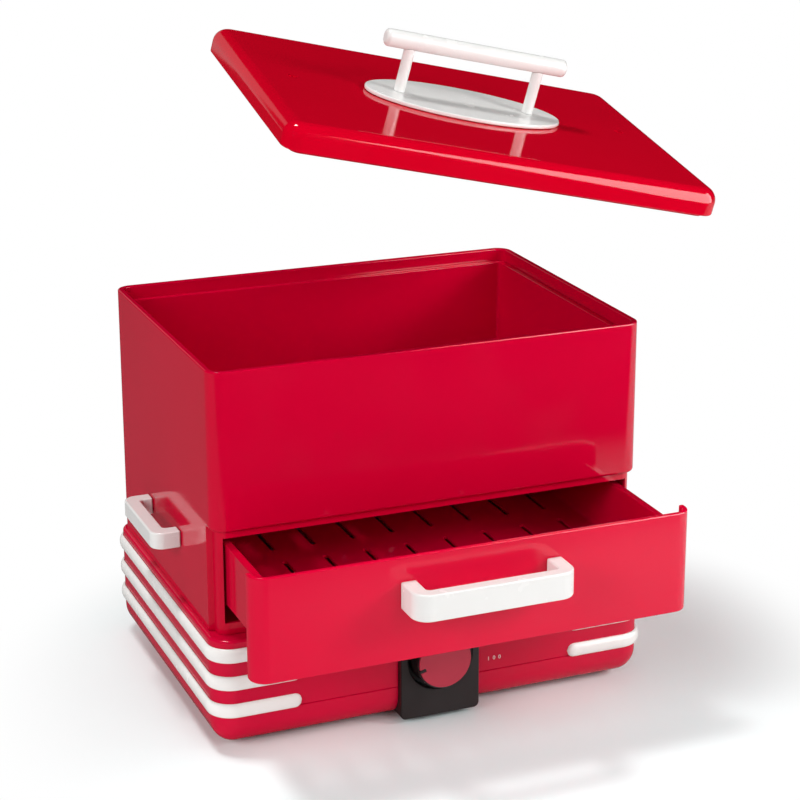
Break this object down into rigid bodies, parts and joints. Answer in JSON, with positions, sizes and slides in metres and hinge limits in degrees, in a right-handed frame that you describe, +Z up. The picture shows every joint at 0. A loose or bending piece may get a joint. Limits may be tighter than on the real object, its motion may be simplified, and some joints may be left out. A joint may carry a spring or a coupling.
{
  "type": "hot dog steamer",
  "caption": "Counter-top steamer: a box on a striped base with a sausage drawer that slides out, a lift-out bun tray, a lift-off lid and a turning dial.",
  "frame": {"origin": "middle of the bounding box, on the plane that the feet stand on, with the drawer pulled out and the lid held clear", "axes": "+X to the right as seen from the front, +Y to the back, +Z up; the drawer comes out along -Y"},
  "size_m": [0.415, 0.3578, 0.4734],
  "materials": {
    "housing_red": "high gloss moulded",
    "base_red": "gloss moulded",
    "drawer_red": "high gloss moulded",
    "knob_red": "satin",
    "trim_white": "gloss moulded",
    "dial_black": "satin",
    "rubber_black": "matt",
    "bare_metal": "plain pressed",
    "control_brown": "matt phenolic",
    "lead_grey": "matt sleeve"
  },
  "bodies": {
    "base": {"base_pan": "base_red", "base_screw_1": "bare_metal", "base_screw_2": "bare_metal", "base_screw_3": "bare_metal", "base_screw_4": "bare_metal", "base_shell": "base_red", "chamber_housing": "housing_red", "control_screw_1": "bare_metal", "control_screw_2": "bare_metal", "control_unit": "control_brown", "cord_gland": "rubber_black", "dial_bezel": "dial_black", "heating_element": "bare_metal", "housing_screw_1": "bare_metal", "housing_screw_2": "bare_metal", "housing_screw_3": "bare_metal", "housing_screw_4": "bare_metal", "lead_control_to_element": "lead_grey", "lead_to_control": "lead_grey", "lead_to_element": "lead_grey", "overheat_cutout": "bare_metal", "rubber_foot_1": "rubber_black", "rubber_foot_2": "rubber_black", "rubber_foot_3": "rubber_black", "rubber_foot_4": "rubber_black", "side_handle_left": "trim_white", "side_handle_right": "trim_white", "side_handle_screw_1": "bare_metal", "side_handle_screw_2": "bare_metal", "side_handle_screw_3": "bare_metal", "side_handle_screw_4": "bare_metal", "steam_plate": "bare_metal", "strip_left_lower": "trim_white", "strip_left_middle": "trim_white", "strip_left_upper": "trim_white", "strip_right_lower": "trim_white", "strip_right_middle": "trim_white", "strip_right_upper": "trim_white", "terminal_block": "trim_white", "water_reservoir": "bare_metal"},
    "drawer": {"drawer_front": "drawer_red", "drawer_tray": "housing_red", "drawer_handle": "trim_white", "drawer_screw_1": "bare_metal", "drawer_screw_2": "bare_metal"},
    "bun_tray_body": {"bun_tray": "housing_red"},
    "lid": {"lid_shell": "housing_red", "lid_oval_plate": "trim_white", "lid_post_left": "trim_white", "lid_post_right": "trim_white", "lid_bar": "trim_white", "lid_screw_1": "bare_metal", "lid_screw_2": "bare_metal"},
    "knob": {"dial_knob": "dial_black", "knob_face": "knob_red", "dial_shaft": "bare_metal"}
  },
  "joints": [
    {"name": "drawer_slide", "type": "slide", "parent": "base", "child": "drawer", "axis": [0, -1, 0], "range_m": [-0.082, 0.143]},
    {"name": "bun_tray_lift", "type": "slide", "parent": "base", "child": "bun_tray_body", "axis": [0, 0, 1], "range_m": [0, 0.12]},
    {"name": "lid_lift", "type": "hinge", "parent": "bun_tray_body", "child": "lid", "pos_m": [0.3752, -0.26097, 0.13709], "axis": [0.5231, 0.8025, -0.2871], "range_deg": [-15.19, 0]},
    {"name": "knob_turn", "type": "hinge", "parent": "base", "child": "knob", "pos_m": [-0.02686, -0.07965, 0.0485], "axis": [0, 1, 0], "range_deg": [0, 240]}
  ]
}
